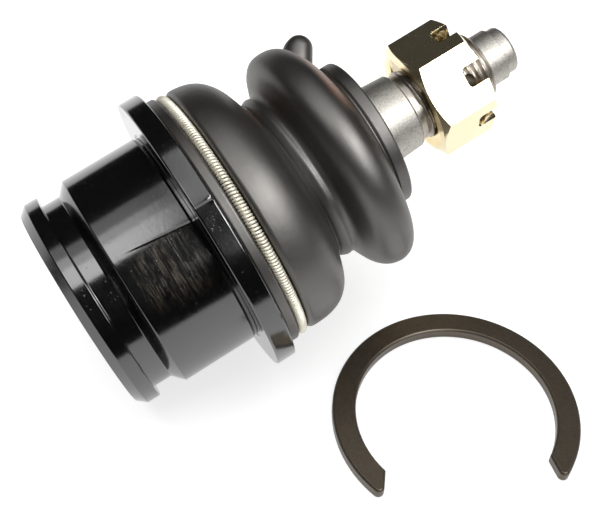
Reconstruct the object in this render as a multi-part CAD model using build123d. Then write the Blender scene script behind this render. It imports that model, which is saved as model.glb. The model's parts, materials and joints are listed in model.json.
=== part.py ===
from build123d import *
import os
from math import atan2, cos, degrees, radians, sin, sqrt, tan

os.makedirs("parts", exist_ok=True)

# Press-in suspension ball joint, lying on its flange and its bottom disc, with its snap ring beside it.
# Every turned piece is drawn as (radius, station) pairs. Stations run along the stud axis from the
# ball's centre, positive towards the nut. The last section stands the whole joint on the surface.

# Fits
ball_clear = 0.03
press_gap = 0.02
thread_clear = 0.03
shank_clear = 0.05
seat_split = 0.3

# Ball stud
ball_d = 28.0
ball_flat = 1.4
neck_d = 13.0
neck_fillet = 1.4
neck_past_waist = 0.1
boot_land_d = 17.9
boot_land_lead = 0.6
taper_gap = 0.4
taper_step = 0.1
taper_len = 8.0
taper_ratio = 8.0
relief_depth = 0.5
relief_len = 1.2
relief_ramp = 0.4
thread_d = 16.0
thread_chamfer = 0.8
thread_past_nut = 2.8
pilot_d = 11.6
pilot_len = 4.6
tip_step = 0.65
tip_len = 2.75
tip_round = 0.6
cotter_hole_d = 2.8
cotter_hole_below_nut_top = 2.7
cotter_hole_turn = 52.5

# Bearing seats, pressure plate, disc spring and closing plate, stacked under the ball
seat_wall = 3.2
seat_floor = 1.45
seat_hole_d = 13.0
seat_lip_gap = 0.4
plate_hole_d = 11.0
pressure_plate_t = 0.8
pressure_plate_clear = 0.3
spring_t = 0.7
spring_height = 1.3
spring_hole_d = 16.0
spring_side_clear = 0.8
closing_plate_t = 2.0
closing_plate_step = 2.3
roll_t = 0.55
roll_reach = 0.9

# Housing
barrel_wall = 6.5
seat_face = 9.4
undercut_w = 1.1
undercut_depth = 0.4
undercut_face_depth = 0.3
flange_step = 7.2
flange_t = 4.3
edge_break = 0.4
lead_in_len = 2.15
groove_depth = 2.35
groove_w = 3.85
disc_land = 2.78
disc_clear = 0.25
end_chamfer_len = 1.85
end_chamfer_depth = 1.55
shoulder_start = 2.5
mouth_inset = 1.4
mouth_at = 8.4
mouth_land = 1.0
mouth_top_d = 38.0
boot_neck_d = 49.2
boot_neck_h = 7.3
boot_bead = 0.8
boot_bead_w = 1.1

# Boot
boot_wall = 1.7
base_gap = 0.15
lip_wall = 3.9
lip_t = 2.3
garter_wall = 1.45
garter_coil_d = 2.25
garter_side_gap = 0.15
base_shoulder = 3.5
waist_bore_d = 33.4
waist_wall = 1.0
waist_ridge_h = 1.05
waist_len = 2.7
waist_lead = 0.6
lower_bulge_r = 5.8
lower_bulge_out = 4.4
lower_bulge_rise = 6.1
lower_bulge_start = 10.0
upper_bulge_r = 7.0
upper_bulge_out = 1.8
upper_bulge_to = 105.0
upper_bulge_inner_to = 95.0
collar_d = 32.8
collar_gap = 1.2
collar_t = 2.5
collar_edge = 0.5
collar_undercut = 0.8
collar_bore_len = 5.0
nub_d = 5.6
nub_turn = -64.0
nub_root_out = 0.5
nub_root_rise = 5.1
nub_tip_out = 6.4
nub_tip_rise = 9.9
collar_ring_cover = 0.8
collar_ring_w = 1.4
collar_ring_h = 1.6

# Castle nut
nut_flats = 23.0
nut_gap = 1.5
nut_height = 13.2
nut_face_inset = 0.2
nut_chamfer = 30.0
nut_sides = 6
slot_w = 4.5
slot_depth = 4.6
slot_corner = 0.9
nut_turn = 13.7
bore_chamfer = 0.6

# Snap ring
ring_od = 52.4
ring_band = 5.0
ring_t = 2.8
ring_edge = 0.4
ring_gap = 90.0
ring_gap_turn = -113.3
ring_tip_slant = 9.0
ring_tip_round = 1.2
ring_x = 44.7
ring_y = -48.1


def arc(centre, radius, start, end):
    """An arc of a profile, from one angle to another about its own centre."""
    return CenterArc(centre, radius, start, end - start)


def turned(*outline):
    """A solid turned from a closed outline of edges around the stud axis."""
    return revolve(Plane.XZ * make_face(Wire(outline)), Axis.Z)


def outline(*pieces):
    """Edges of a closed outline: points are joined by lines, and edges are taken as they are."""
    edges = []
    first = None
    last = None
    for piece in pieces:
        start = Vector(*piece) if isinstance(piece, tuple) else piece @ 0
        end = start if isinstance(piece, tuple) else piece @ 1
        if last is not None and (start - last).length > 1e-6:
            edges.append(Line(last, start))
        if not isinstance(piece, tuple):
            edges.append(piece)
        if first is None:
            first = start
        last = end
    edges.append(Line(last, first))
    return edges


def along(turn):
    """Unit vector square to the stud axis, turned about it from straight up."""
    return Vector(cos(radians(turn)), sin(radians(turn)), 0)


ball_r = ball_d / 2
neck_r = neck_d / 2
cup_r = ball_r + ball_clear
bore_r = ball_r + seat_wall
mouth_r = ball_r - mouth_inset
barrel_r = bore_r + barrel_wall
flange_r = barrel_r + flange_step
disc_r = barrel_r - disc_clear
groove_r = barrel_r - groove_depth
boot_neck_r = boot_neck_d / 2
barrel_top = seat_face - undercut_w
flange_top = seat_face + flange_t

# The stack under the ball sets where the housing ends
seat_hole_r = seat_hole_d / 2
seat_bottom = -sqrt(cup_r**2 - seat_hole_r**2) - seat_floor
pressure_plate_bottom = seat_bottom - pressure_plate_t
closing_plate_top = pressure_plate_bottom - spring_height
closing_plate_bottom = closing_plate_top - closing_plate_t
housing_end = closing_plate_bottom - roll_t
closing_plate_r = bore_r + closing_plate_step
disc_bottom = housing_end + end_chamfer_len
groove_bottom = disc_bottom + disc_land
groove_top = groove_bottom + groove_w
barrel_bottom = groove_top + lead_in_len

# The boot's stations follow one another from the flange up, and the stud's follow the boot's collar
garter_r = garter_coil_d / 2
lip_top = flange_top + base_gap + lip_t
garter_at = lip_top + garter_side_gap + garter_r
channel_end = garter_at + garter_r + garter_side_gap
waist_bore_r = waist_bore_d / 2
crease_r = waist_bore_r + waist_wall
bulge_r0 = waist_bore_r + lower_bulge_out
bulge_r1 = waist_bore_r + upper_bulge_out
lower_bulge_at = channel_end + lower_bulge_rise
waist_start = lower_bulge_at + lower_bulge_r + waist_lead
waist_end = waist_start + waist_len
upper_bulge_at = waist_end + upper_bulge_r
collar_r = collar_d / 2
collar_start = upper_bulge_at + upper_bulge_r + collar_gap
collar_end = collar_start + collar_t
collar_bore_start = collar_end - collar_bore_len
neck_end = waist_end + neck_past_waist
taper_start = collar_end + taper_gap
taper_end = taper_start + taper_len
relief_end = taper_end + relief_ramp + relief_len
nut_start = relief_end + nut_gap
nut_end = nut_start + nut_height
thread_r = thread_d / 2
thread_end = nut_end + thread_past_nut
pilot_end = thread_end + pilot_len
tip_end = pilot_end + tip_len


def make_housing():
    top = flange_top + boot_neck_h
    bead_r = boot_neck_r + boot_bead
    bead_low = top - edge_break - boot_bead_w
    return turned(*outline(
        (closing_plate_r - roll_reach, housing_end),
        (disc_r - end_chamfer_depth, housing_end),
        (disc_r, disc_bottom),
        (disc_r, groove_bottom),
        (groove_r, groove_bottom),
        (groove_r, groove_top),
        (barrel_r, barrel_bottom),
        (barrel_r, barrel_top),
        (barrel_r - undercut_depth, barrel_top + undercut_depth),
        (barrel_r - undercut_depth, seat_face + undercut_face_depth),
        (barrel_r + undercut_face_depth, seat_face + undercut_face_depth),
        (barrel_r + 2 * undercut_face_depth, seat_face),
        (flange_r - edge_break, seat_face),
        (flange_r, seat_face + edge_break),
        (flange_r, flange_top - edge_break),
        (flange_r - edge_break, flange_top),
        (boot_neck_r, flange_top),
        (boot_neck_r, bead_low),
        (bead_r, bead_low),
        (bead_r, top - edge_break),
        (bead_r - edge_break, top),
        (mouth_top_d / 2, top),
        (mouth_r, mouth_at + mouth_land),
        (mouth_r, mouth_at),
        (bore_r, shoulder_start),
        (bore_r, closing_plate_top),
        (closing_plate_r, closing_plate_top),
        (closing_plate_r, closing_plate_bottom),
        (closing_plate_r - roll_reach, closing_plate_bottom),
    ))


def make_closing_plate():
    r = closing_plate_r - press_gap
    return turned(*outline(
        (0, closing_plate_bottom + press_gap),
        (r, closing_plate_bottom + press_gap),
        (r, closing_plate_top - press_gap),
        (0, closing_plate_top - press_gap),
    ))


def make_preload_spring():
    low = closing_plate_top
    high = pressure_plate_bottom - press_gap
    inner = spring_hole_d / 2
    outer = bore_r - spring_side_clear
    return turned(*outline((inner, high), (inner, high - spring_t), (outer, low), (outer, low + spring_t)))


def make_pressure_plate():
    inner = plate_hole_d / 2
    outer = bore_r - pressure_plate_clear
    high = seat_bottom - press_gap
    return turned(*outline(
        (inner, pressure_plate_bottom),
        (outer, pressure_plate_bottom),
        (outer, high),
        (inner, high),
    ))


def make_lower_seat():
    outer = bore_r - press_gap
    split = -seat_split / 2
    low_angle = -degrees(atan2(sqrt(cup_r**2 - seat_hole_r**2), seat_hole_r))
    high_angle = degrees(atan2(split, sqrt(cup_r**2 - split**2)))
    cup = arc((0, 0), cup_r, high_angle, low_angle)
    return turned(*outline((seat_hole_r, seat_bottom), (outer, seat_bottom), (outer, split), cup))


def make_upper_seat():
    outer = bore_r - press_gap
    split = seat_split / 2
    lip_at = mouth_at - seat_lip_gap
    low_angle = degrees(atan2(split, sqrt(cup_r**2 - split**2)))
    high_angle = degrees(atan2(lip_at, sqrt(cup_r**2 - lip_at**2)))
    cup = arc((0, 0), cup_r, high_angle, low_angle)
    slope = (bore_r - mouth_r) / (mouth_at - shoulder_start)
    lip_r = bore_r - slope * (lip_at - shoulder_start)
    return turned(*outline(
        (outer, split),
        (outer, shoulder_start - press_gap),
        (lip_r - press_gap, lip_at - press_gap),
        cup,
    ))


def make_ball_stud():
    flat_at = ball_flat - ball_r
    flat_r = sqrt(ball_r**2 - flat_at**2)
    fillet_axis = (neck_r + neck_fillet, sqrt((ball_r + neck_fillet) ** 2 - (neck_r + neck_fillet) ** 2))
    meet = degrees(atan2(fillet_axis[1], fillet_axis[0]))
    ball = arc((0, 0), ball_r, degrees(atan2(flat_at, flat_r)), meet)
    fillet_arc = arc(fillet_axis, neck_fillet, meet + 180, 180)
    land_r = boot_land_d / 2
    taper_big_r = land_r - taper_step
    taper_small_r = taper_big_r - taper_len / taper_ratio / 2
    relief_r = thread_r - relief_depth
    pilot_r = pilot_d / 2
    tip_r = pilot_r - tip_step
    body = turned(*outline(
        (0, flat_at),
        ball,
        fillet_arc,
        (neck_r, neck_end),
        (land_r, collar_bore_start - boot_land_lead),
        (land_r, taper_start),
        (taper_big_r, taper_start),
        (taper_small_r, taper_end),
        (relief_r, taper_end + relief_ramp),
        (relief_r, relief_end),
        (thread_r, relief_end + relief_depth),
        (thread_r, thread_end - thread_chamfer),
        (thread_r - thread_chamfer, thread_end),
        (pilot_r, thread_end),
        (pilot_r, pilot_end),
        (tip_r, pilot_end),
        (tip_r, tip_end - tip_round),
        (tip_r - tip_round, tip_end),
        (0, tip_end),
    ))
    hole_at = nut_end - cotter_hole_below_nut_top
    hole_plane = Plane(origin=(0, 0, hole_at), z_dir=along(cotter_hole_turn))
    return body - hole_plane * Cylinder(cotter_hole_d / 2, 2 * thread_d)


def make_boot_base():
    inner = boot_neck_r + press_gap
    bead_inner = boot_neck_r + boot_bead + base_gap
    bead_low = flange_top + boot_neck_h - edge_break - boot_bead_w - base_gap
    outer = arc((bulge_r0, lower_bulge_at), lower_bulge_r, lower_bulge_start, 90)
    inside = arc((bulge_r0, lower_bulge_at), lower_bulge_r - boot_wall, 90, lower_bulge_start)
    lip_r = boot_neck_r + lip_wall
    return turned(*outline(
        (inner, flange_top + base_gap),
        (lip_r - edge_break, flange_top + base_gap),
        (lip_r, flange_top + base_gap + edge_break),
        (lip_r, lip_top),
        (inner + garter_wall, lip_top),
        (inner + garter_wall, channel_end),
        (boot_neck_r + base_shoulder, channel_end),
        outer,
        (crease_r, waist_start),
        (waist_bore_r, waist_start),
        (waist_bore_r, lower_bulge_at + lower_bulge_r - boot_wall / 2),
        inside,
        (bead_inner, flange_top + boot_neck_h + base_gap),
        (bead_inner, bead_low),
        (inner, bead_low),
    ))


def make_boot_waist():
    middle = (waist_start + waist_end) / 2
    ridge_r = crease_r + waist_ridge_h
    ridge = ThreePointArc((crease_r, waist_start), (ridge_r, middle), (crease_r, waist_end))
    return turned(*outline((waist_bore_r, waist_start), ridge, (waist_bore_r, waist_end)))


def make_boot_fold():
    centre = (bulge_r1, upper_bulge_at)
    outer = arc(centre, upper_bulge_r, -90, upper_bulge_to)
    inside = arc(centre, upper_bulge_r - boot_wall, upper_bulge_inner_to, -90)
    bore = boot_land_d / 2 + shank_clear
    fold = turned(*outline(
        (waist_bore_r, waist_end),
        outer,
        (collar_r - collar_undercut, collar_start - collar_gap / 2),
        (collar_r, collar_start),
        (collar_r, collar_end - collar_edge),
        (collar_r - collar_edge, collar_end),
        (bore, collar_end),
        (bore, collar_bore_start),
        inside,
        (waist_bore_r, waist_end + boot_wall),
    ))
    low = (bulge_r1 + nub_root_out) * along(nub_turn) + Vector(0, 0, upper_bulge_at + nub_root_rise)
    high = (bulge_r1 + nub_tip_out) * along(nub_turn) + Vector(0, 0, upper_bulge_at + nub_tip_rise)
    length = (high - low).length
    peg = Cylinder(nub_d / 2, length - nub_d / 2, align=(Align.CENTER, Align.CENTER, Align.MIN))
    dome = Pos(0, 0, length - nub_d / 2) * Sphere(nub_d / 2)
    nub = Plane(origin=low, z_dir=high - low) * (peg + dome)
    shell = turned(*outline(
        (waist_bore_r, waist_end),
        arc(centre, upper_bulge_r - boot_wall / 2, -90, 90),
        (bulge_r1, collar_bore_start),
        (bore, collar_bore_start),
        (bore, waist_end),
    ))
    return fold + (nub - shell) - make_collar_ring(0.0)


def make_collar_ring(gap):
    outer = collar_r - collar_ring_cover - gap
    inner = collar_r - collar_ring_cover - collar_ring_w + gap
    middle = (collar_start + collar_end) / 2
    low = middle - collar_ring_h / 2 + gap
    high = middle + collar_ring_h / 2 - gap
    return turned(*outline((inner, low), (outer, low), (outer, high), (inner, high)))


def make_garter_ring():
    axis_r = boot_neck_r + press_gap + garter_wall + garter_r + press_gap
    return Pos(0, 0, garter_at) * Torus(axis_r, garter_r)


def make_castle_nut():
    pitch = 360 / nut_sides
    corner_r = nut_flats / 2 / cos(radians(pitch / 2))
    bore = thread_d / 2 + thread_clear
    face_r = nut_flats / 2 - nut_face_inset
    rise = (corner_r - face_r) * tan(radians(nut_chamfer))
    hexagon = extrude(RegularPolygon(nut_flats / 2, nut_sides, major_radius=False), nut_height)
    envelope = turned(*outline(
        (bore + bore_chamfer, 0),
        (face_r, 0),
        (corner_r, rise),
        (corner_r, nut_height - rise),
        (face_r, nut_height),
        (bore + bore_chamfer, nut_height),
        (bore, nut_height - bore_chamfer),
        (bore, bore_chamfer),
    ))
    nut = hexagon & envelope
    slot_top = nut_height + slot_corner
    slot = Rectangle(slot_w, slot_depth + slot_corner, align=(Align.CENTER, Align.MAX))
    slot = Pos(0, slot_top) * slot
    low_corners = slot.vertices().sort_by(Axis.Y)[:2]
    slot = fillet(low_corners, slot_corner)
    across = extrude(Plane.XZ * slot, nut_flats, both=True)
    for k in range(nut_sides // 2):
        nut -= Rot(0, 0, pitch * k) * across
    return Pos(0, 0, nut_start) * Rot(0, 0, nut_turn) * nut


def make_snap_ring():
    """The ring lies flat, with its middle on Z and its under face on the XY plane."""
    outer = ring_od / 2
    inner = outer - ring_band
    half = ring_gap / 2
    near = ring_gap_turn - half
    far = ring_gap_turn + half

    def polar(radius, turn):
        return (radius * cos(radians(turn)), radius * sin(radians(turn)))

    rim = arc((0, 0), outer, far, near + 360)
    bore = arc((0, 0), inner, near + 360 - ring_tip_slant, far + ring_tip_slant)
    band = make_face(Wire([
        rim,
        Line(polar(outer, near), polar(inner, near - ring_tip_slant)),
        bore,
        Line(polar(inner, far + ring_tip_slant), polar(outer, far)),
    ]))
    tips = band.vertices().sort_by_distance(polar(outer, ring_gap_turn))[:2]
    band = fillet(tips, ring_tip_round)
    ring = extrude(band, ring_t)
    ring = chamfer(ring.faces().sort_by(Axis.Z)[-1].edges(), ring_edge)
    return chamfer(ring.faces().sort_by(Axis.Z)[0].edges(), ring_edge)


# The joint lies on the edge of its flange and the edge of its bottom disc, stud end up
contact_low = (disc_r, disc_bottom)
contact_high = (flange_r, seat_face + edge_break)
tilt = atan2(contact_high[0] - contact_low[0], contact_high[1] - contact_low[1])
floor = contact_high[1] * sin(tilt) - contact_high[0] * cos(tilt)
stud_axis = Vector(cos(tilt), 0, sin(tilt))
lying = Plane(origin=(0, 0, 0), x_dir=Vector(-sin(tilt), 0, cos(tilt)), z_dir=stud_axis)

pieces = {
    "housing": make_housing(),
    "closing_plate": make_closing_plate(),
    "preload_spring": make_preload_spring(),
    "pressure_plate": make_pressure_plate(),
    "lower_bearing_seat": make_lower_seat(),
    "upper_bearing_seat": make_upper_seat(),
    "ball_stud": make_ball_stud(),
    "boot_base": make_boot_base(),
    "boot_waist": make_boot_waist(),
    "boot_fold": make_boot_fold(),
    "boot_garter_ring": make_garter_ring(),
    "boot_collar_ring": make_collar_ring(press_gap),
    "castle_nut": make_castle_nut(),
}
parts = {name: lying.location * piece for name, piece in pieces.items()}
parts["snap_ring"] = Pos(ring_x, ring_y, floor) * make_snap_ring()

for name, part in parts.items():
    export_step(part, f"parts/{name}.step")

print("tilt", round(degrees(tilt), 4), "floor", round(floor, 4), "housing end", round(housing_end, 4))
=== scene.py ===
import json
from math import atan2, cos, degrees, exp, floor, pi, radians, sin, sqrt, tan

import bmesh
import bpy
from mathutils import Matrix, Vector


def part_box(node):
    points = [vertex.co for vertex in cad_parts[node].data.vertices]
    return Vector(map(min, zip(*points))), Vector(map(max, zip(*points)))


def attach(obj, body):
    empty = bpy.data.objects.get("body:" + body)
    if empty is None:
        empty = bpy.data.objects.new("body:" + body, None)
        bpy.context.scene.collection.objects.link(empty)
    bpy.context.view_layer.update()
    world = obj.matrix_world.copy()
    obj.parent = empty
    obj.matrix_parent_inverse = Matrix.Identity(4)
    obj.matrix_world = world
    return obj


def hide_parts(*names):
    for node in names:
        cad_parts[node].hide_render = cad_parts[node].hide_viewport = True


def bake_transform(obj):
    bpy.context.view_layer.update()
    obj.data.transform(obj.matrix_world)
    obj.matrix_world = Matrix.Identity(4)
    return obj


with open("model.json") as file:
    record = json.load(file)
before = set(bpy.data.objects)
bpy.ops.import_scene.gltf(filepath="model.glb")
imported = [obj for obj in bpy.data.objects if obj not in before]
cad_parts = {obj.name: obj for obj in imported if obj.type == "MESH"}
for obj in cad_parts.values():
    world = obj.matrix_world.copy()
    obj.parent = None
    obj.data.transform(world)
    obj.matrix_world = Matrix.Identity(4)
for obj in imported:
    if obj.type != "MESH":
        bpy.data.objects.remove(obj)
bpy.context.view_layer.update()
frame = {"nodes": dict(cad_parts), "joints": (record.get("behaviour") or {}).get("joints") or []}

# A press-in suspension ball joint that lies on its flange and its bottom disc, with its snap ring beside it.
# Lengths are in millimetres, except for the table and the lamps, and turns are in degrees. A station runs
# along the stud from the ball's centre, positive towards the nut. A turn of 0 is the stud's upper side.
MM = 0.001
JOINTS = {joint["name"]: joint for joint in frame["joints"]}
AXIS = Vector(JOINTS["stud_spin"]["axis"]).normalized()
UP = Vector(JOINTS["stud_swing_side"]["axis"]).normalized()
SIDE = AXIS.cross(UP)
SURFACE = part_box("snap_ring")[0].z

# Turned pieces: steps in a full turn, a guard point's distance from a rounding, and the longest spans
FINE_ROUND = 256
SOFT_ROUND = 208
GUARD = 0.07
HARD_SPAN = 0.9
SOFT_SPAN = 0.8

# Housing
LIP_R = 18.63
END_R = 21.9
DISC_R = 23.45
DISC_LOW = -16.6835
GROOVE_LOW = -13.9035
GROOVE_R = 21.35
GROOVE_HIGH = -10.0535
BARREL_LOW = -7.9035
BARREL_R = 23.7
BARREL_HIGH = 8.3
RELIEF_R = 23.3
RELIEF_T = 9.65
SEAT_T = 9.4
SEAT_R = 24.3
FLANGE_R = 30.9
FLANGE_T = 13.7
NECK_R = 24.6
BEAD_R = 25.4
BEAD_T = 19.5
MOUTH_T = 21.0
MOUTH_TOP_R = 19.0
MOUTH_R = 12.6
MOUTH_LAND = 1.0
BORE_R = 17.2
BORE_T = 2.5
PLATE_R = 19.53
PLATE_HIGH = -15.9835
PLATE_LOW = -17.9835
ROLL_T = 0.55

# The paint run down the barrel and over the flange, and the chip at its end
RUN_TURN = 30.4
RUN_SLANT = 0.3
RUN_FROM = -5.5
RUN_FADE = 6.0
RUN_LIFT = 0.06
RUN_WIDTH = 0.2
FLANGE_RUN_TURN = 29.4
CHIP_TURN = 29.0
CHIP_DEPTH = 0.3
CHIP_BURR = 0.16
CHIP_SIZE = 0.3
FLAW_TURNS = [24.0 + 0.2 * k for k in range(50)]

# Boot
LIP_OUT = 28.5
LIP_LOW = 13.85
LIP_HIGH = 16.15
BASE_R = 24.62
CHANNEL_R = 26.07
CHANNEL_END = 18.7
SHOULDER_R = 28.15
WALL = 1.6
WAIST_BORE = 16.7
BEAD_GAP = 0.15
LOW_BULGE = (
    (20.6, 28.15), (22.8, 27.95), (25.0, 27.35), (27.0, 26.2), (28.8, 24.2), (30.0, 21.6), (30.8, 19.2),
)
LOW_HOLLOW = (21.5, 30.4)
CREASE = (31.4, 18.1)
CREASE_DEEP = 29.4
RIDGE = ((32.1, 18.6), (33.3, 19.1), (34.4, 19.0))
WAIST_FLARE = ((37.3, WAIST_BORE + 1.7), (34.6, WAIST_BORE + 1.0))
HIGH_BULGE = (
    (35.4, 19.7), (36.3, 21.8), (37.4, 23.9), (39.1, 25.4), (41.4, 25.9),
    (43.7, 25.4), (45.4, 23.9), (46.6, 21.5), (47.3, 19.0), (48.0, 16.8),
)
HIGH_HOLLOW = (35.9, 47.6)
COLLAR_R = 16.4
COLLAR_LOW = 49.1
COLLAR_HIGH = 51.6
COLLAR_BORE = 9.0
COLLAR_DEPTH = 5.0
COLLAR_ROOT = (COLLAR_LOW - 0.6, COLLAR_R - 0.7)
NUB_TURN = -64.0
NUB_ROOT = (45.6, 18.6)
NUB_TIP = (50.8, 25.4)
NUB_R = 3.0
NUB_SPREAD = 0.35
NUB_TAPER = 0.05

# How far the boot's rings lean at each station, towards which turn, and how far they sag for each degree
LEAN = ((18.7, 0.0), (25.0, 1.2), (33.0, 2.6), (41.0, 4.0), (46.0, 2.6), (49.0, 0.0))
LEAN_TURN = 127.3
SAG = 0.15

# Garter spring
GARTER_T = 17.425
GARTER_R = 27.2
COIL_R = 0.85
WIRE_R = 0.275
COILS = 248
COIL_POINTS = 14
WIRE_SIDES = 6

# Stud
STUD_ROUND = 224
BALL_R = 14.0
BALL_LOW = -12.6
BALL_HIGH = 12.3
STUD_NECK_R = 6.5
STUD_NECK_LOW = 13.2
STUD_NECK_HIGH = 34.0
LAND_LOW = 46.0
LAND_HIGH = 52.0
LAND_R = 8.95
TAPER_R = 8.85
TAPER_HIGH = 60.0
TAPER_HIGH_R = 8.35

# Thread: how much of half a pitch is crest, and how much is flank
THREAD_R = 8.0
THREAD_PITCH = 1.5
THREAD_FROM = 61.6
THREAD_TO = 79.1
THREAD_RELIEF = 0.5
THREAD_DEPTH = 0.92
THREAD_BREAK = 0.8
THREAD_ROWS = 170
CREST = 0.14
FLANK = 0.66

# The stud's end and its cotter hole
PILOT_R = 5.8
PILOT_T = 83.7
TIP_R = 5.15
TIP_T = 86.45
COTTER_T = 73.6
COTTER_TURN = 52.5
COTTER_R = 1.4

# Nut
NUT_LOW = 63.1
NUT_HIGH = 76.3
NUT_FLATS = 23.0
NUT_TURN = 13.7
NUT_FACE_R = 11.3
NUT_CHAMFER = 30.0
NUT_SIDES = 6
NUT_ROWS = 110
NUT_EDGE = 0.16
SLOT_W = 4.5
SLOT_DEPTH = 4.6
SLOT_CORNER = 0.9

# Snap ring
RING_T = 2.8
RING_EDGE = 0.12

# Camera: where it stands in millimetres, where it looks, and what lies to its right
CAMERA_PLACE = (-57.374, -145.690, 182.464)
CAMERA_LOOK = (0.3453, 0.5490, -0.7612)
CAMERA_RIGHT = (0.8651, -0.5007, 0.0314)
LENS = 70.1
SENSOR = 36.0

# Table, in metres: its near left and its far right corner
TABLE = ((-0.7, -0.19), (0.7, 0.8))

# Lamps, in metres: name, place, the point it faces, size, watts, whether gloss shows it, whether it lights
LAMPS = (
    ("overhead_core", (-0.215, -0.105, 0.60), (-0.215, -0.105, 0.0), (0.16, 0.23), 0.51, True, False),
    ("overhead_middle", (-0.215, 0.07, 0.60), (-0.215, 0.07, 0.0), (0.16, 0.12), 0.16, True, False),
    ("overhead_back", (-0.215, 0.22, 0.60), (-0.215, 0.22, 0.0), (0.16, 0.18), 0.09, True, False),
    ("overhead_edge", (0.068, 0.05, 0.60), (0.068, 0.05, 0.0), (0.365, 0.50), 0.85, True, False),
    ("boot_reflection", (0.25, -0.33, 0.60), (0.25, -0.33, 0.0), (0.52, 0.32), 4.0, True, False),
    ("overhead_fill", (0.0, 0.05, 0.60), (0.0, 0.03, 0.0), (0.80, 0.60), 4.2, False, True),
    ("front_reflection", (0.12, -0.43, 0.43), (0.05, 0.0, 0.02), (0.24, 0.30), 1.8, True, False),
)


class Spindle:
    """An axis that pieces are turned about."""

    def __init__(self, origin, axis, up):
        self.origin = origin
        self.axis = axis
        self.up = up
        self.side = axis.cross(up)

    def at(self, station, radius=0.0, turn=0.0):
        """The point at a station, a radius and a turn about the axis."""
        angle = radians(turn)
        out = self.up * cos(angle) + self.side * sin(angle)
        return self.origin + (self.axis * station + out * radius) * MM


STUD = Spindle(Vector((0, 0, 0)), AXIS, UP)


def arc(station, radius, bend, start, end, steps=16):
    """Points of an arc about (station, radius); 0 degrees is outwards and 90 is along the stud."""
    turns = [radians(start + (end - start) * k / steps) for k in range(steps + 1)]
    return [(station + bend * sin(a), radius + bend * cos(a)) for a in turns]


def smooth(points, steps=5):
    """Points of a smooth curve through the points, without its first and its last."""
    result = []
    for k in range(1, len(points) - 2):
        a, b, c, d = (Vector(point) for point in points[k - 1:k + 3])
        for step in range(steps):
            x = step / steps
            spot = b * 2 + (c - a) * x
            spot += (a * 2 - b * 5 + c * 4 - d) * x ** 2
            spot += (b * 3 - a - c * 3 + d) * x ** 3
            result.append(tuple(spot / 2))
    return result + [tuple(points[-2])]


def inset(points, depth):
    """An open outline moved towards the stud's side by depth, backwards."""
    result = []
    for before, here, after in zip(points, points[1:], points[2:]):
        way = Vector(after) - Vector(before)
        across = Vector((way.y, -way.x)).normalized()
        result.append((here[0] + across.x * depth, here[1] + across.y * depth))
    return result[::-1]


def rounded(*corners, steps=4):
    """An outline through (station, radius, rounding) corners, with a guard point on each side of a rounding.
    An outline whose first corner has no rounding may be open."""
    points = []
    count = len(corners)
    for k, (t, r, bend) in enumerate(corners):
        here = Vector((t, r))
        if not bend:
            points.append((t, r))
            continue
        back = Vector(corners[k - 1][:2]) - here
        ahead = Vector(corners[(k + 1) % count][:2]) - here
        half = back.angle(ahead) / 2
        cut = bend / tan(half)
        centre = here + (back.normalized() + ahead.normalized()).normalized() * bend / sin(half)
        first = here + back.normalized() * cut - centre
        last = here + ahead.normalized() * cut - centre
        if back.length > cut + 2 * GUARD:
            points.append(tuple(here + back.normalized() * (cut + GUARD)))
        for step in range(steps + 1):
            way = first.lerp(last, step / steps).normalized() * bend
            points.append(tuple(centre + way))
        if ahead.length > cut + 2 * GUARD:
            points.append(tuple(here + ahead.normalized() * (cut + GUARD)))
    return points


def divided(points, longest, closed=True):
    """The outline with each span longer than longest cut into equal spans."""
    result = []
    ends = points[1:] + points[:1] if closed else points[1:]
    for a, b in zip(points, ends):
        count = max(1, round(sqrt((b[0] - a[0]) ** 2 + (b[1] - a[1]) ** 2) / longest))
        for k in range(count):
            share = k / count
            result.append((a[0] + (b[0] - a[0]) * share, a[1] + (b[1] - a[1]) * share))
    if not closed:
        result.append(points[-1])
    return result


def even_turns(count):
    return [360.0 * k / count for k in range(count)]


def turned(name, points, turns, spindle=STUD, lift=None):
    """An object turned from an outline. Points at radius 0 become poles, and any other outline closes.
    lift(station, radius, turn) is added to the radius."""
    mesh = bmesh.new()
    rows = []
    for t, r in points:
        if r < 1e-6:
            rows.append([mesh.verts.new(spindle.at(t))])
            continue
        row = []
        for turn in turns:
            extra = lift(t, r, turn) if lift else 0.0
            row.append(mesh.verts.new(spindle.at(t, r + extra, turn)))
        rows.append(row)
    pairs = list(zip(rows, rows[1:]))
    if len(rows[0]) > 1 and len(rows[-1]) > 1:
        pairs.append((rows[-1], rows[0]))
    count = len(turns)
    for low, high in pairs:
        for k in range(count):
            after = (k + 1) % count
            if len(low) == 1:
                mesh.faces.new((low[0], high[after], high[k]))
            elif len(high) == 1:
                mesh.faces.new((low[k], low[after], high[0]))
            else:
                mesh.faces.new((low[k], low[after], high[after], high[k]))
    return as_object(name, mesh)


def as_object(name, mesh):
    """An object of a closed bmesh, with its faces outwards and smooth."""
    bmesh.ops.recalc_face_normals(mesh, faces=mesh.faces)
    data = bpy.data.meshes.new(name)
    mesh.to_mesh(data)
    mesh.free()
    data.shade_smooth()
    obj = bpy.data.objects.new(name, data)
    bpy.context.scene.collection.objects.link(obj)
    return obj


def apply(obj):
    """Makes the object's modifiers part of its mesh."""
    graph = bpy.context.evaluated_depsgraph_get()
    mesh = bpy.data.meshes.new_from_object(obj.evaluated_get(graph), preserve_all_data_layers=True,
                                           depsgraph=graph)
    obj.modifiers.clear()
    obj.data = mesh
    mesh.name = obj.name


def combine(obj, tool, operation):
    """Joins obj with the tool, cuts it or keeps what is inside, and uses the tool up."""
    change = obj.modifiers.new(operation.lower(), "BOOLEAN")
    change.operation = operation
    change.solver = "EXACT"
    change.object = tool
    apply(obj)
    bpy.data.objects.remove(tool)


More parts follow.
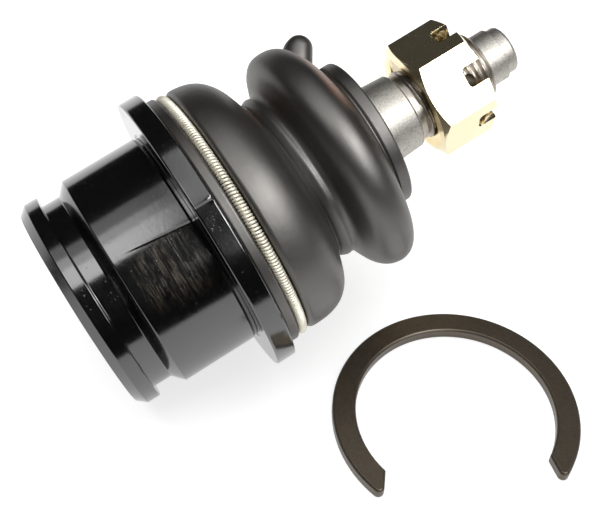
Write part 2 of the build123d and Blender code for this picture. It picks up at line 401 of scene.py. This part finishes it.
def round_edges(obj, width, angle):
    """Makes flat faces whole, rounds the edges sharper than angle and keeps the faces' shading flat."""
    mesh = bmesh.new()
    mesh.from_mesh(obj.data)
    bmesh.ops.remove_doubles(mesh, verts=mesh.verts, dist=0.01 * MM)
    bmesh.ops.dissolve_limit(mesh, angle_limit=radians(0.5), verts=mesh.verts, edges=mesh.edges)
    mesh.to_mesh(obj.data)
    mesh.free()
    bevel = obj.modifiers.new("edges", "BEVEL")
    bevel.width = width * MM
    bevel.segments = 2
    bevel.limit_method = "ANGLE"
    bevel.angle_limit = radians(angle)
    shading = obj.modifiers.new("shading", "WEIGHTED_NORMAL")
    shading.keep_sharp = True
    shading.weight = 100
    obj.data.shade_smooth()
    apply(obj)


# Nodes for materials, for the garter spring and for the world

class Amount:
    """A value in a node tree. An operator on it adds a Math node."""

    def __init__(self, tree, socket):
        self.tree = tree
        self.socket = socket

    def math(self, operation, *others):
        """A Math node on this value and the others."""
        return self.tree.math(operation, self, *others)

    def of(self, name):
        """Another output of the same node."""
        return Amount(self.tree, self.socket.node.outputs[name])

    def __add__(self, other):
        return self.math("ADD", other)

    __radd__ = __add__

    def __sub__(self, other):
        return self.math("SUBTRACT", other)

    def __rsub__(self, other):
        return self.tree.math("SUBTRACT", other, self)

    def __mul__(self, other):
        return self.math("MULTIPLY", other)

    __rmul__ = __mul__

    def __truediv__(self, other):
        return self.math("DIVIDE", other)


class Tree:
    """A node tree, to which nodes are added by one method."""

    def __init__(self, tree):
        self.tree = tree

    def node(self, kind, settings=None, sockets=None, output=0):
        """A node of a kind, with its settings set first and then its sockets linked or set."""
        made = self.tree.nodes.new(kind)
        for key, value in (settings or {}).items():
            setattr(made, key, value)
        for key, value in (sockets or {}).items():
            self.feed(made.inputs[key], value)
        return Amount(self, made.outputs[output] if len(made.outputs) else None)

    def math(self, operation, *values):
        return self.node("ShaderNodeMath", {"operation": operation}, dict(enumerate(values)))

    def feed(self, socket, value):
        """Links an Amount to a socket, or sets the socket to a plain value."""
        if isinstance(value, Amount):
            self.tree.links.new(value.socket, socket)
        else:
            socket.default_value = value


class Finish(Tree):
    """A material whose patterns are laid out in millimetres on the joint."""

    def __init__(self, name, constants):
        self.material = bpy.data.materials.new(name)
        self.material.use_nodes = True
        super().__init__(self.material.node_tree)
        self.shader = self.tree.nodes["Principled BSDF"]
        for key, value in constants.items():
            self.shader.inputs[key].default_value = value
        place = self.node("ShaderNodeTexCoord").of("Object")
        self.point = self.node("ShaderNodeVectorMath", {"operation": "SCALE"}, {0: place, "Scale": 1 / MM})
        self.station = self.dot(AXIS)
        self.high = self.dot(UP)
        self.aside = self.dot(SIDE)
        self.turn = self.aside.math("ARCTAN2", self.high) * degrees(1)

    def dot(self, way):
        """How far a point lies along a direction."""
        node = self.node("ShaderNodeVectorMath", {"operation": "DOT_PRODUCT"}, {0: self.point, 1: way})
        return node.of("Value")

    def radius(self):
        return (self.high * self.high + self.aside * self.aside).math("SQRT")

    def stretched(self, along, around):
        """A point for patterns that are stretched along the stud or around it."""
        sockets = {0: self.station * along, 1: self.high * around, 2: self.aside * around}
        return self.node("ShaderNodeCombineXYZ", None, sockets)

    def noise(self, scale, detail=2.0, roughness=0.5, at=None):
        sockets = {"Vector": at or self.point, "Scale": scale, "Detail": detail, "Roughness": roughness}
        return self.node("ShaderNodeTexNoise", None, sockets)

    def step(self, value, low, high):
        """A soft step from 0 at low to 1 at high, or the other way round where high is the lower."""
        settings = {"interpolation_type": "SMOOTHSTEP"}
        if low < high:
            sockets = {"Value": value, "From Min": low, "From Max": high}
            return self.node("ShaderNodeMapRange", settings, sockets)
        sockets = {"Value": value, "From Min": high, "From Max": low, "To Min": 1.0, "To Max": 0.0}
        return self.node("ShaderNodeMapRange", settings, sockets)

    def mix(self, share, a, b):
        return self.node("ShaderNodeMix", {"data_type": "RGBA"}, {0: share, 6: a, 7: b}, output=2)

    def colour(self, value):
        self.feed(self.shader.inputs["Base Color"], value)

    def rough(self, value):
        self.feed(self.shader.inputs["Roughness"], value)

    def relief(self, height):
        """Small relief, with its height in millimetres."""
        bump = self.node("ShaderNodeBump", None, {"Strength": 1.0, "Distance": MM, "Height": height})
        self.feed(self.shader.inputs["Normal"], bump)


def rgb(red, green, blue):
    return (red, green, blue, 1.0)


def black_paint():
    """Gloss black paint, scuffed on one side of the barrel."""
    paint = Finish("black_paint", {"IOR": 1.9, "Metallic": 0.0})
    wander = (paint.noise(0.22, 3.0) - 0.5) * 16.0
    turn = paint.turn + wander
    station = paint.station + wander * 0.35
    patch = paint.step(turn, 28.0, 33.0) * paint.step(turn, 64.0, 50.0)
    patch = patch * paint.step(station, -7.0, -3.5) * paint.step(station, 8.0, 4.5)
    fine = paint.noise(1.0, 3.0, 0.6, paint.stretched(3.4, 0.16))
    broad = paint.noise(1.0, 2.0, 0.5, paint.stretched(0.8, 0.3))
    streaks = paint.step(fine, 0.42, 0.60) * paint.step(broad, 0.30, 0.55)
    blots = paint.step(paint.noise(0.45, 2.0), 0.36, 0.32)
    scuff = patch * streaks * (1.0 - blots)
    black = paint.mix(paint.noise(0.5, 3.0), rgb(0.0015, 0.0015, 0.0015), rgb(0.004, 0.004, 0.004))
    paint.colour(paint.mix(scuff, black, rgb(0.052, 0.042, 0.029)))
    haze = paint.noise(0.35, 4.0, 0.6)
    swirl = paint.noise(1.0, 3.0, 0.6, paint.stretched(7.0, 0.35))
    gloss = 0.10 + haze * 0.07 + paint.step(swirl, 0.55, 0.8) * 0.08
    paint.rough(gloss + scuff * 0.06)
    peel = paint.noise(0.9, 2.0) * 0.006
    dust = paint.step(paint.noise(2.2, 1.0), 0.73, 0.8) * 0.012
    paint.relief(peel + dust + patch * fine * 0.004)
    return paint.material


def boot_rubber():
    """Satin black moulded rubber with fine scratches, pale dust, and a painted warm brown reflection beside
    the creases.
    """
    rubber = Finish("boot_rubber", {"IOR": 2.1, "Metallic": 0.0, "Specular Tint": rgb(1.0, 0.97, 0.925)})
    cloud = rubber.noise(0.12, 4.0, 0.6)
    black = rubber.mix(cloud, rgb(0.004, 0.0034, 0.0028), rgb(0.009, 0.0075, 0.006))
    fleck = rubber.step(rubber.noise(3.2, 1.0), 0.72, 0.80) * rubber.step(rubber.noise(0.16, 2.0), 0.5, 0.7)
    scratch = rubber.noise(1.0, 2.0, 0.5, rubber.stretched(1.1, 4.5))
    scratch = rubber.step(scratch, 0.70, 0.76) * rubber.step(rubber.noise(0.3, 2.0), 0.55, 0.7)
    marked = rubber.mix(fleck * 0.5 + scratch * 0.35, black, rgb(0.16, 0.15, 0.13))
    # Painted reflection: a brown tint in two crescents beside the creases stands in for a warm reflection in
    # the rubber.
    high_warm_reflection = rubber.step(rubber.station, 43.6, 45.0) * rubber.step(rubber.station, 48.2, 47.2)
    high_warm_reflection = high_warm_reflection * rubber.step(rubber.turn, -56.0, -36.0) * rubber.step(rubber.turn, 30.0, 8.0)
    low_warm_reflection = rubber.step(rubber.station, 28.0, 29.2) * rubber.step(rubber.station, 31.0, 30.3)
    low_warm_reflection = low_warm_reflection * rubber.step(rubber.turn, -70.0, -45.0) * rubber.step(rubber.turn, 10.0, -25.0)
    warm_reflection = high_warm_reflection * 0.9 + low_warm_reflection * 0.5
    rubber.colour(rubber.mix(warm_reflection * (0.6 + cloud * 0.5), marked, rgb(0.19, 0.060, 0.014)))
    grain = rubber.noise(2.4, 3.0, 0.6)
    rubber.rough(0.36 + cloud * 0.14 + grain * 0.06)
    rubber.relief(grain * 0.010 + rubber.noise(0.5, 2.0) * 0.03 + scratch * 0.02)
    return rubber.material


def stud_steel():
    """Grey blasted steel, a little browner in the thread."""
    steel = Finish("stud_steel", {"Metallic": 1.0})
    grain = steel.noise(2.6, 2.0, 0.7)
    fine = steel.noise(6.0, 1.0)
    stain = steel.noise(0.3, 3.0)
    grey = steel.mix(steel.step(grain, 0.3, 0.7), rgb(0.35, 0.335, 0.305), rgb(0.55, 0.53, 0.49))
    thread = steel.step(steel.station, 60.3, 61.0) * steel.step(steel.station, 79.2, 79.0)
    brown = thread * 0.45 + steel.step(stain, 0.5, 0.75) * 0.2
    steel.colour(steel.mix(brown, grey, rgb(0.34, 0.29, 0.245)))
    steel.rough(0.45 + grain * 0.14 - thread * 0.16)
    steel.relief((grain * 0.022 + fine * 0.008) * (1.0 - thread * 0.6))
    return steel.material


def yellow_zinc():
    """Bright yellow zinc with whitish scratches."""
    zinc = Finish("yellow_zinc", {"Metallic": 0.96})
    cloud = zinc.noise(0.25, 4.0, 0.6)
    gold = zinc.mix(cloud, rgb(0.80, 0.68, 0.40), rgb(0.87, 0.78, 0.56))
    inner = zinc.step(zinc.radius(), 11.2, 10.0)
    gold = zinc.mix(inner * 0.7, gold, rgb(0.78, 0.60, 0.27))
    scratch = zinc.noise(1.0, 4.0, 0.65, zinc.stretched(2.6, 0.9))
    scratch = zinc.step(scratch, 0.60, 0.72) * zinc.step(zinc.noise(0.35, 2.0), 0.45, 0.62)
    zinc.colour(zinc.mix(scratch * 0.6, gold, rgb(0.92, 0.90, 0.80)))
    zinc.rough(0.13 + cloud * 0.08 + scratch * 0.25)
    zinc.relief(zinc.noise(0.6, 3.0) * 0.012 + scratch * 0.006)
    return zinc.material


def garter_wire():
    """Pale gold plated wire."""
    wire = Finish("garter_wire", {"Metallic": 0.75})
    tone = wire.noise(0.4, 3.0)
    wire.colour(wire.mix(tone, rgb(0.92, 0.87, 0.72), rgb(0.96, 0.93, 0.83)))
    wire.rough(0.46 + tone * 0.14)
    wire.relief(wire.noise(4.0, 2.0) * 0.004)
    return wire.material


def dark_phosphate():
    """Dark oiled phosphate, with a painted highlight that makes the side walls paler towards the upper
    edges, and a few bright rubs.
    """
    coat = Finish("dark_phosphate", {"Metallic": 0.75})
    height = coat.node("ShaderNodeSeparateXYZ", None, {0: coat.point}).of("Z") - SURFACE / MM
    grain = coat.noise(2.2, 3.0, 0.65)
    cloud = coat.noise(0.18, 3.0)
    dark = coat.mix(grain, rgb(0.056, 0.044, 0.031), rgb(0.112, 0.092, 0.068))
    # Painted highlight: the side walls grow paler towards their upper edges, where light catches them, while
    # the top face stays dark.
    wall_highlight = coat.step(height, RING_T - 0.02, RING_T - 0.3) * coat.step(height, 0.1, 2.2)
    dark = coat.mix(wall_highlight * 0.4, dark, rgb(0.16, 0.14, 0.12))
    coat.colour(coat.mix(coat.step(cloud, 0.5, 0.75) * 0.35, dark, rgb(0.13, 0.10, 0.07)))
    coat.rough(0.34 + grain * 0.14 - cloud * 0.06)
    coat.relief(grain * 0.016)
    return coat.material


def spring_steel():
    """Oiled spring steel."""
    steel = Finish("spring_steel", {"Metallic": 1.0})
    lines = steel.noise(1.0, 3.0, 0.6, steel.stretched(3.0, 0.4))
    steel.colour(steel.mix(lines, rgb(0.30, 0.29, 0.28), rgb(0.44, 0.43, 0.41)))
    steel.rough(0.28 + lines * 0.14)
    steel.relief(lines * 0.006)
    return steel.material


def seat_polymer():
    """Natural bearing polymer, a little greasy."""
    polymer = Finish("seat_polymer", {"Metallic": 0.0, "IOR": 1.48})
    cloud = polymer.noise(0.3, 3.0)
    polymer.colour(polymer.mix(cloud, rgb(0.74, 0.72, 0.63), rgb(0.84, 0.82, 0.75)))
    polymer.rough(0.34 + cloud * 0.16)
    polymer.relief(polymer.noise(1.2, 2.0) * 0.01)
    return polymer.material


MATERIALS = {
    "black_paint": black_paint(),
    "boot_rubber": boot_rubber(),
    "stud_steel": stud_steel(),
    "yellow_zinc": yellow_zinc(),
    "garter_wire": garter_wire(),
    "dark_phosphate": dark_phosphate(),
    "spring_steel": spring_steel(),
    "seat_polymer": seat_polymer(),
}


def dress(obj, slot, nodes):
    """Gives obj its finish and lets it stand for CAD nodes."""
    obj.data.materials.clear()
    obj.data.materials.append(MATERIALS[slot])
    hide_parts(*nodes)


# Pieces

def near(value, middle, width):
    """1 at the middle, falling to 0 a few widths away."""
    return exp(-((value - middle) / width) ** 2)


def paint_flaws(station, radius, turn):
    """The paint run that stands up from the housing, and the chip in the flange's edge."""
    lift = 0.0
    if RUN_FROM < station < SEAT_T and radius > RELIEF_R - 0.1:
        middle = RUN_TURN - RUN_SLANT * (BARREL_HIGH - station)
        reach = min(1.0, (station - RUN_FROM) / RUN_FADE)
        lift += RUN_LIFT * reach * near(radians(turn - middle) * radius, 0.0, RUN_WIDTH)
    if radius > FLANGE_R - 0.5 and station > SEAT_T:
        lift += RUN_LIFT * near(radians(turn - FLANGE_RUN_TURN) * radius, 0.0, RUN_WIDTH)
        across = radians(turn - CHIP_TURN) * radius
        edge = near(station, FLANGE_T - 0.1, CHIP_SIZE)
        burr = CHIP_BURR * near(across, 0.5, CHIP_SIZE)
        lift += edge * (burr - CHIP_DEPTH * near(across, -0.1, CHIP_SIZE))
    return lift


def make_housing():
    """The turned housing, with finer steps round the flaws of its paint."""
    end = PLATE_LOW - ROLL_T
    edges = rounded(
        (end, LIP_R, 0.3),
        (end, END_R, 0.25),
        (DISC_LOW, DISC_R, 0.3),
        (GROOVE_LOW, DISC_R, 0.22),
        (GROOVE_LOW, GROOVE_R, 0.2),
        (GROOVE_HIGH, GROOVE_R, 0.4),
        (BARREL_LOW, BARREL_R, 0.35),
        (BARREL_HIGH, BARREL_R, 0.18),
        (BARREL_HIGH + 0.4, RELIEF_R, 0.12),
        (RELIEF_T, RELIEF_R, 0.1),
        (RELIEF_T, SEAT_R - 0.3, 0.08),
        (SEAT_T, SEAT_R, 0.1),
        (SEAT_T, FLANGE_R, 0.42),
        (FLANGE_T, FLANGE_R, 0.42),
        (FLANGE_T, NECK_R, 0.3),
        (BEAD_T, NECK_R, 0.2),
        (BEAD_T, BEAD_R, 0.2),
        (MOUTH_T, BEAD_R, 0.4),
        (MOUTH_T, MOUTH_TOP_R, 0.3),
        (SEAT_T, MOUTH_R, 0.3),
        (SEAT_T - MOUTH_LAND, MOUTH_R, 0.2),
        (BORE_T, BORE_R, 0.3),
        (PLATE_HIGH, BORE_R, 0.1),
        (PLATE_HIGH, PLATE_R, 0.1),
        (PLATE_LOW, PLATE_R, 0.1),
        (PLATE_LOW, LIP_R, 0.15),
    )
    turns = sorted(even_turns(FINE_ROUND) + FLAW_TURNS)
    housing = turned("joint_housing", divided(edges, HARD_SPAN), turns, lift=paint_flaws)
    dress(housing, "black_paint", ["housing"])
    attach(housing, "housing")


def lean(obj):
    """Leans the boot's rings towards the nut on their lower side, where soft rubber sags."""
    low = STUD.at(0, 1, LEAN_TURN).normalized()
    for vertex in obj.data.vertices:
        station = vertex.co.dot(AXIS) / MM
        radius = (vertex.co - AXIS * station * MM).length / MM
        for (a, tilt_a), (b, tilt_b) in zip(LEAN, LEAN[1:]):
            if a < station <= b and radius > COLLAR_BORE + 1.0:
                tilt = tilt_a + (tilt_b - tilt_a) * (station - a) / (b - a)
                vertex.co += AXIS * vertex.co.dot(low) * tan(radians(tilt)) + low * SAG * tilt * MM
                break


def hollow(outer, stations):
    """The inner side of a bulge's wall between two stations."""
    return inset([point for point in outer if stations[0] < point[0] < stations[1]], WALL)


def make_lower_boot():
    """The base lip, the garter's channel and the lower bulge, up to the crease below the waist."""
    outer = rounded(
        (LIP_LOW, BASE_R, 0.0),
        (LIP_LOW, LIP_OUT, 0.5),
        (LIP_HIGH, LIP_OUT, 0.55),
        (LIP_HIGH + 0.1, CHANNEL_R, 0.4),
        (CHANNEL_END, CHANNEL_R, 0.4),
        (CHANNEL_END + 0.1, SHOULDER_R, 1.2),
        (*LOW_BULGE[0], 0.0),
    )[:-1]
    bulge = smooth([outer[-1], *LOW_BULGE, CREASE, RIDGE[0]])
    inside = [(CREASE[0], WAIST_BORE), (CREASE_DEEP, WAIST_BORE), *hollow(bulge, LOW_HOLLOW)]
    inside += [(MOUTH_T + 0.2, BEAD_R + 0.6), (MOUTH_T + BEAD_GAP, BEAD_R + BEAD_GAP)]
    inside += [(BEAD_T - BEAD_GAP, BEAD_R + BEAD_GAP), (BEAD_T - BEAD_GAP, BASE_R)]
    boot = turned("boot_lower_bulge", divided(outer + bulge + inside, SOFT_SPAN), even_turns(SOFT_ROUND))
    lean(boot)
    dress(boot, "boot_rubber", ["boot_base"])
    STUD.at(CHANNEL_END)
    STUD.at(CREASE[0] - 0.4)
    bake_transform(boot)


def make_upper_boot():
    """The waist's ridge, the upper bulge with its nub, and the collar on the shank."""
    outer = smooth([LOW_BULGE[-1], CREASE, *RIDGE, *HIGH_BULGE, COLLAR_ROOT])
    collar = rounded(
        (*HIGH_BULGE[-1], 0.0),
        (*COLLAR_ROOT, 0.3),
        (COLLAR_LOW, COLLAR_R, 0.4),
        (COLLAR_HIGH, COLLAR_R, 0.5),
        (COLLAR_HIGH, COLLAR_BORE, 0.3),
        (COLLAR_HIGH - COLLAR_DEPTH, COLLAR_BORE, 0.0),
    )[1:]
    inside = [*hollow(outer, HIGH_HOLLOW), *WAIST_FLARE, (CREASE[0], WAIST_BORE)]
    points = divided(outer + collar + inside, SOFT_SPAN)
    boot = turned("boot_upper_bulge", points, even_turns(SOFT_ROUND))
    root = STUD.at(*NUB_ROOT, NUB_TURN)
    way = STUD.at(*NUB_TIP, NUB_TURN) - root
    length = way.length / MM
    nub_spindle = Spindle(root, way.normalized(), way.cross(AXIS).normalized())
    peg = [(0.0, 0.0), (0.0, NUB_R + NUB_SPREAD)]
    peg += arc(length - NUB_R, 0.0, NUB_R - NUB_TAPER, 0.0, 86.0, 12)
    peg = divided(peg, 0.5, closed=False)
    nub = turned("nub", peg + [(length, 0.0)], even_turns(48), nub_spindle)
    combine(boot, nub, "UNION")
    lean(boot)
    boot.data.shade_smooth()
    dress(boot, "boot_rubber", ["boot_waist", "boot_fold"])
    STUD.at(CREASE[0])
    STUD.at(COLLAR_HIGH - 5.3)
    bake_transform(boot)


def garter_tree():
    """The node tree of a coiled spring closed into a ring, in its own frame."""
    group = bpy.data.node_groups.new("garter_spring", "GeometryNodeTree")
    sizes = {"Ring Radius": GARTER_R * MM, "Coil Radius": COIL_R * MM, "Wire Radius": WIRE_R * MM}
    counts = {"Coils": COILS, "Points Per Coil": COIL_POINTS, "Wire Sides": WIRE_SIDES}
    kinds = {**dict.fromkeys(sizes, "Float"), **dict.fromkeys(counts, "Int"), "Finish": "Material"}
    names = {}
    for name, kind in kinds.items():
        made = group.interface.new_socket(name, in_out="INPUT", socket_type="NodeSocket" + kind)
        names[name] = made.identifier
    group.interface.new_socket("Geometry", in_out="OUTPUT", socket_type="NodeSocketGeometry")
    tree = Tree(group)
    given = tree.node("NodeGroupInput")
    points = given.of("Coils") * given.of("Points Per Coil")
    ring = tree.node("GeometryNodeCurvePrimitiveCircle", {"mode": "RADIUS"},
                     {"Resolution": points, "Radius": given.of("Ring Radius")})
    around = tree.node("GeometryNodeInputIndex") / points * (2 * pi)
    twist = around * given.of("Coils")
    out = given.of("Ring Radius") + given.of("Coil Radius") * twist.math("COSINE")
    along = given.of("Coil Radius") * twist.math("SINE")
    sockets = {0: out * around.math("COSINE"), 1: out * around.math("SINE"), 2: along}
    place = tree.node("ShaderNodeCombineXYZ", None, sockets)
    line = tree.node("GeometryNodeSetPosition", None, {"Geometry": ring, "Position": place})
    section = tree.node("GeometryNodeCurvePrimitiveCircle", {"mode": "RADIUS"},
                        {"Resolution": given.of("Wire Sides"), "Radius": given.of("Wire Radius")})
    wire = tree.node("GeometryNodeCurveToMesh", None, {"Curve": line, "Profile Curve": section})
    real = tree.node("GeometryNodeRealizeInstances", None, {"Geometry": wire})
    finished = tree.node("GeometryNodeSetMaterial", None, {"Geometry": real, "Material": given.of("Finish")})
    tree.node("NodeGroupOutput", None, {"Geometry": finished})
    values = {**sizes, **counts, "Finish": MATERIALS["garter_wire"]}
    return group, {names[name]: value for name, value in values.items()}


def make_garter():
    """The coiled spring, set in the boot's channel."""
    spring = bpy.data.objects.new("garter_spring", bpy.data.meshes.new("garter_spring"))
    bpy.context.scene.collection.objects.link(spring)
    coils = spring.modifiers.new("coils", "NODES")
    coils.node_group, values = garter_tree()
    for socket, value in values.items():
        coils[socket] = value
    apply(spring)
    upright = Matrix((STUD.up, STUD.side, STUD.axis)).transposed().to_4x4()
    upright.translation = STUD.at(GARTER_T)
    spring.data.transform(upright)
    spring.data.shade_smooth()
    dress(spring, "garter_wire", ["boot_garter_ring"])
    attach(spring, "housing")


def thread_depth(station, turn):
    """How deep the thread is cut at a point: 0 on the crest, 1 in the root."""
    share = station / THREAD_PITCH - turn / 360.0
    share = abs(share - floor(share) - 0.5) * 2.0
    return min(1.0, max(0.0, (share - CREST) / FLANK))


def thread_lift(station, radius, turn):
    """The thread's cut, which runs out at both ends."""
    if not THREAD_FROM < station < THREAD_TO + 0.01 or radius < THREAD_R - 1.0:
        return 0.0
    start = min(1.0, (station - THREAD_FROM) / THREAD_RELIEF)
    cut = max(0.0, radius - THREAD_R + THREAD_DEPTH)
    return -cut * thread_depth(station, turn) * start


def make_stud():
    """The ball, the shank, the thread cut in its surface, and the end with the cotter hole."""
    ball_from = degrees(atan2(BALL_LOW, sqrt(BALL_R ** 2 - BALL_LOW ** 2)))
    ball_to = degrees(atan2(BALL_HIGH, sqrt(BALL_R ** 2 - BALL_HIGH ** 2)))
    ball = arc(0.0, 0.0, BALL_R, ball_from, ball_to, 60)
    first = THREAD_FROM + THREAD_RELIEF
    last = THREAD_TO - THREAD_BREAK
    shank = rounded(
        (STUD_NECK_LOW, STUD_NECK_R, 0.0),
        (STUD_NECK_HIGH, STUD_NECK_R, 1.0),
        (LAND_LOW, LAND_R, 0.3),
        (LAND_HIGH, LAND_R, 0.08),
        (LAND_HIGH, TAPER_R, 0.03),
        (TAPER_HIGH, TAPER_HIGH_R, 0.2),
        (TAPER_HIGH + 0.4, THREAD_R - THREAD_RELIEF, 0.12),
        (THREAD_FROM, THREAD_R - THREAD_RELIEF, 0.15),
        (first, THREAD_R, 0.0),
    )
    step = (last - first) / THREAD_ROWS
    thread = [(first + step * k, THREAD_R) for k in range(1, THREAD_ROWS + 1)]
    end = [(last + 0.1 * k, THREAD_R - 0.1 * k) for k in range(1, 9)]
    pilot = rounded(
        (THREAD_TO, THREAD_R - THREAD_BREAK, 0.0),
        (THREAD_TO, PILOT_R, 0.15),
        (PILOT_T, PILOT_R, 0.15),
        (PILOT_T, TIP_R, 0.12),
        (TIP_T, TIP_R, 0.75),
        (TIP_T, 0.0, 0.0),
    )[1:]
    points = [(BALL_LOW, 0.0), *ball, *shank, *thread, *end, *pilot]
    stud = turned("stud", points, even_turns(STUD_ROUND), lift=thread_lift)
    across = STUD.at(0, 1, COTTER_TURN).normalized()
    drill_spindle = Spindle(STUD.at(COTTER_T), across, AXIS)
    reach = THREAD_R + 4.0
    bar = [(-reach, 0.0), (-reach, COTTER_R), (reach, COTTER_R), (reach, 0.0)]
    combine(stud, turned("drill", bar, even_turns(48), drill_spindle), "DIFFERENCE")
    stud.data.shade_smooth()
    stud.data.set_sharp_from_angle(angle=radians(50))
    dress(stud, "stud_steel", ["ball_stud"])
    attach(stud, "stud")


def slot_tool(turn):
    """A bar with rounded lower corners that cuts two opposite slots across the nut."""
    half = SLOT_W / 2
    low = NUT_HIGH - SLOT_DEPTH
    outline = rounded(
        (NUT_HIGH + 1.0, half, 0.0),
        (low, half, SLOT_CORNER),
        (low, -half, SLOT_CORNER),
        (NUT_HIGH + 1.0, -half, 0.0),
        steps=6,
    )
    mesh = bmesh.new()
    across = Spindle(STUD.at(0), AXIS, STUD.at(0, 1, turn + 90).normalized())
    ends = []
    for reach in (-NUT_FLATS, NUT_FLATS):
        way = STUD.at(0, reach, turn)
        ends.append([mesh.verts.new(across.at(t, r) + way) for t, r in outline])
    mesh.faces.new(ends[0])
    mesh.faces.new(ends[1])
    count = len(outline)
    for k in range(count):
        after = (k + 1) % count
        mesh.faces.new((ends[0][k], ends[0][after], ends[1][after], ends[1][k]))
    return as_object("slot_tool", mesh)


def make_nut():
    """A hexagon chamfered by a turned envelope, with its slots, rounded edges and threaded bore."""
    pitch = 360 / NUT_SIDES
    corner_r = NUT_FLATS / 2 / cos(radians(pitch / 2))
    rise = (corner_r - NUT_FACE_R) * tan(radians(NUT_CHAMFER))
    out = corner_r + 0.5
    slope = rise * (out - NUT_FACE_R) / (corner_r - NUT_FACE_R)
    prism = [(NUT_LOW - 1, 0.0), (NUT_LOW - 1, corner_r), (NUT_HIGH + 1, corner_r), (NUT_HIGH + 1, 0.0)]
    nut = turned("nut", prism, [NUT_TURN + pitch * k for k in range(NUT_SIDES)])
    core_r = THREAD_R - 2.0
    envelope = [(NUT_LOW, core_r), (NUT_LOW, NUT_FACE_R), (NUT_LOW + slope, out), (NUT_HIGH - slope, out),
                (NUT_HIGH, NUT_FACE_R), (NUT_HIGH, core_r)]
    combine(nut, turned("envelope", envelope, even_turns(144)), "INTERSECT")
    for k in range(NUT_SIDES // 2):
        combine(nut, slot_tool(NUT_TURN + pitch / 2 + pitch * k), "DIFFERENCE")
    round_edges(nut, NUT_EDGE, 25)
    bore = [(NUT_LOW - 0.4, 0.0), (NUT_LOW - 0.4, THREAD_R + 1.0), (NUT_LOW + 0.5, THREAD_R + 0.1)]
    step = (NUT_HIGH - NUT_LOW - 1.0) / NUT_ROWS
    bore += [(NUT_LOW + 0.5 + step * k, THREAD_R + 0.05) for k in range(NUT_ROWS + 1)]
    bore += [(NUT_HIGH - 0.5, THREAD_R + 0.1), (NUT_HIGH + 0.4, THREAD_R + 1.0), (NUT_HIGH + 0.4, 0.0)]
    combine(nut, turned("bore", bore, even_turns(96), lift=thread_lift), "DIFFERENCE")
    dress(nut, "yellow_zinc", ["castle_nut"])
    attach(nut, "stud")


def make_snap_ring():
    """The ring of the frame, with its facets merged and its edges rounded."""
    mesh = bmesh.new()
    mesh.from_mesh(frame["nodes"]["snap_ring"].data)
    bmesh.ops.remove_doubles(mesh, verts=mesh.verts, dist=0.002 * MM)
    ring = as_object("retaining_ring", mesh)
    round_edges(ring, RING_EDGE, 20)
    dress(ring, "dark_phosphate", ["snap_ring"])
    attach(ring, "snap_ring")


# The closing plate and the pieces inside, which keep their shape from the frame
INNER = {
    "closing_plate": "black_paint",
    "preload_spring": "spring_steel",
    "pressure_plate": "spring_steel",
    "boot_collar_ring": "spring_steel",
    "lower_bearing_seat": "seat_polymer",
    "upper_bearing_seat": "seat_polymer",
}


def finish_inner_pieces():
    for node, slot in INNER.items():
        for place in frame["nodes"][node].material_slots:
            place.material = MATERIALS[slot]


make_housing()
make_lower_boot()
make_upper_boot()
make_garter()
make_stud()
make_nut()
make_snap_ring()
finish_inner_pieces()


# Floor, camera and light

def make_floor():
    """A white table top. To the camera and in reflections it is a little brighter than its lit paint."""
    mesh = bmesh.new()
    (left, near_side), (right, far_side) = TABLE
    corners = ((left, near_side), (right, near_side), (right, far_side), (left, far_side))
    mesh.faces.new([mesh.verts.new((x, y, SURFACE - 0.02 * MM)) for x, y in corners])
    table = as_object("table", mesh)
    material = bpy.data.materials.new("white_table")
    material.use_nodes = True
    tree = Tree(material.node_tree)
    shader = material.node_tree.nodes["Principled BSDF"]
    shader.inputs["Base Color"].default_value = rgb(0.55, 0.55, 0.55)
    shader.inputs["Roughness"].default_value = 0.6
    shader.inputs["Specular IOR Level"].default_value = 0.1
    path = tree.node("ShaderNodeLightPath")
    seen = path.of("Is Camera Ray") + path.of("Is Glossy Ray") + path.of("Is Transmission Ray")
    shader.inputs["Emission Color"].default_value = rgb(1.0, 1.0, 1.0)
    tree.feed(shader.inputs["Emission Strength"], seen * 0.72)
    table.data.materials.append(material)


def make_camera():
    """The camera at the photograph's angle."""
    look = Vector(CAMERA_LOOK).normalized()
    right = Vector(CAMERA_RIGHT)
    right = (right - look * right.dot(look)).normalized()
    rise = right.cross(look)
    camera = bpy.data.objects.new("camera", bpy.data.cameras.new("camera"))
    bpy.context.scene.collection.objects.link(camera)
    camera.data.lens = LENS
    camera.data.sensor_width = SENSOR
    camera.data.clip_start = 0.01
    turn = Matrix((right, rise, -look)).transposed().to_4x4()
    turn.translation = Vector(CAMERA_PLACE) * MM
    camera.matrix_world = turn
    bpy.context.scene.camera = camera


def soft_light(name, place, aim, size, watts, glossy, diffuse):
    """A rectangular lamp that faces a point."""
    lamp = bpy.data.objects.new(name, bpy.data.lights.new(name, "AREA"))
    bpy.context.scene.collection.objects.link(lamp)
    lamp.data.shape = "RECTANGLE"
    lamp.data.size = size[0]
    lamp.data.size_y = size[1]
    lamp.data.energy = watts
    lamp.visible_glossy = glossy
    lamp.visible_diffuse = diffuse
    away = (Vector(place) - Vector(aim)).normalized()
    across = Vector((1, 0, 0))
    across = (across - away * across.dot(away)).normalized()
    turn = Matrix((across, away.cross(across), away)).transposed().to_4x4()
    turn.translation = Vector(place)
    lamp.matrix_world = turn


def make_world():
    """A white surround to the camera, softer to surfaces and nearly black in gloss."""
    world = bpy.data.worlds.new("studio")
    bpy.context.scene.world = world
    world.use_nodes = True
    tree = Tree(world.node_tree)
    path = tree.node("ShaderNodeLightPath")
    white = path.of("Is Camera Ray") + path.of("Is Transmission Ray")
    strength = white + path.of("Is Diffuse Ray") * 0.45 + path.of("Is Glossy Ray") * 0.012
    background = world.node_tree.nodes["Background"]
    background.inputs["Color"].default_value = rgb(1.0, 1.0, 1.0)
    tree.feed(background.inputs["Strength"], strength)


make_floor()
make_camera()
make_world()
for lamp in LAMPS:
    soft_light(*lamp)
bpy.context.scene.view_settings.view_transform = "Standard"
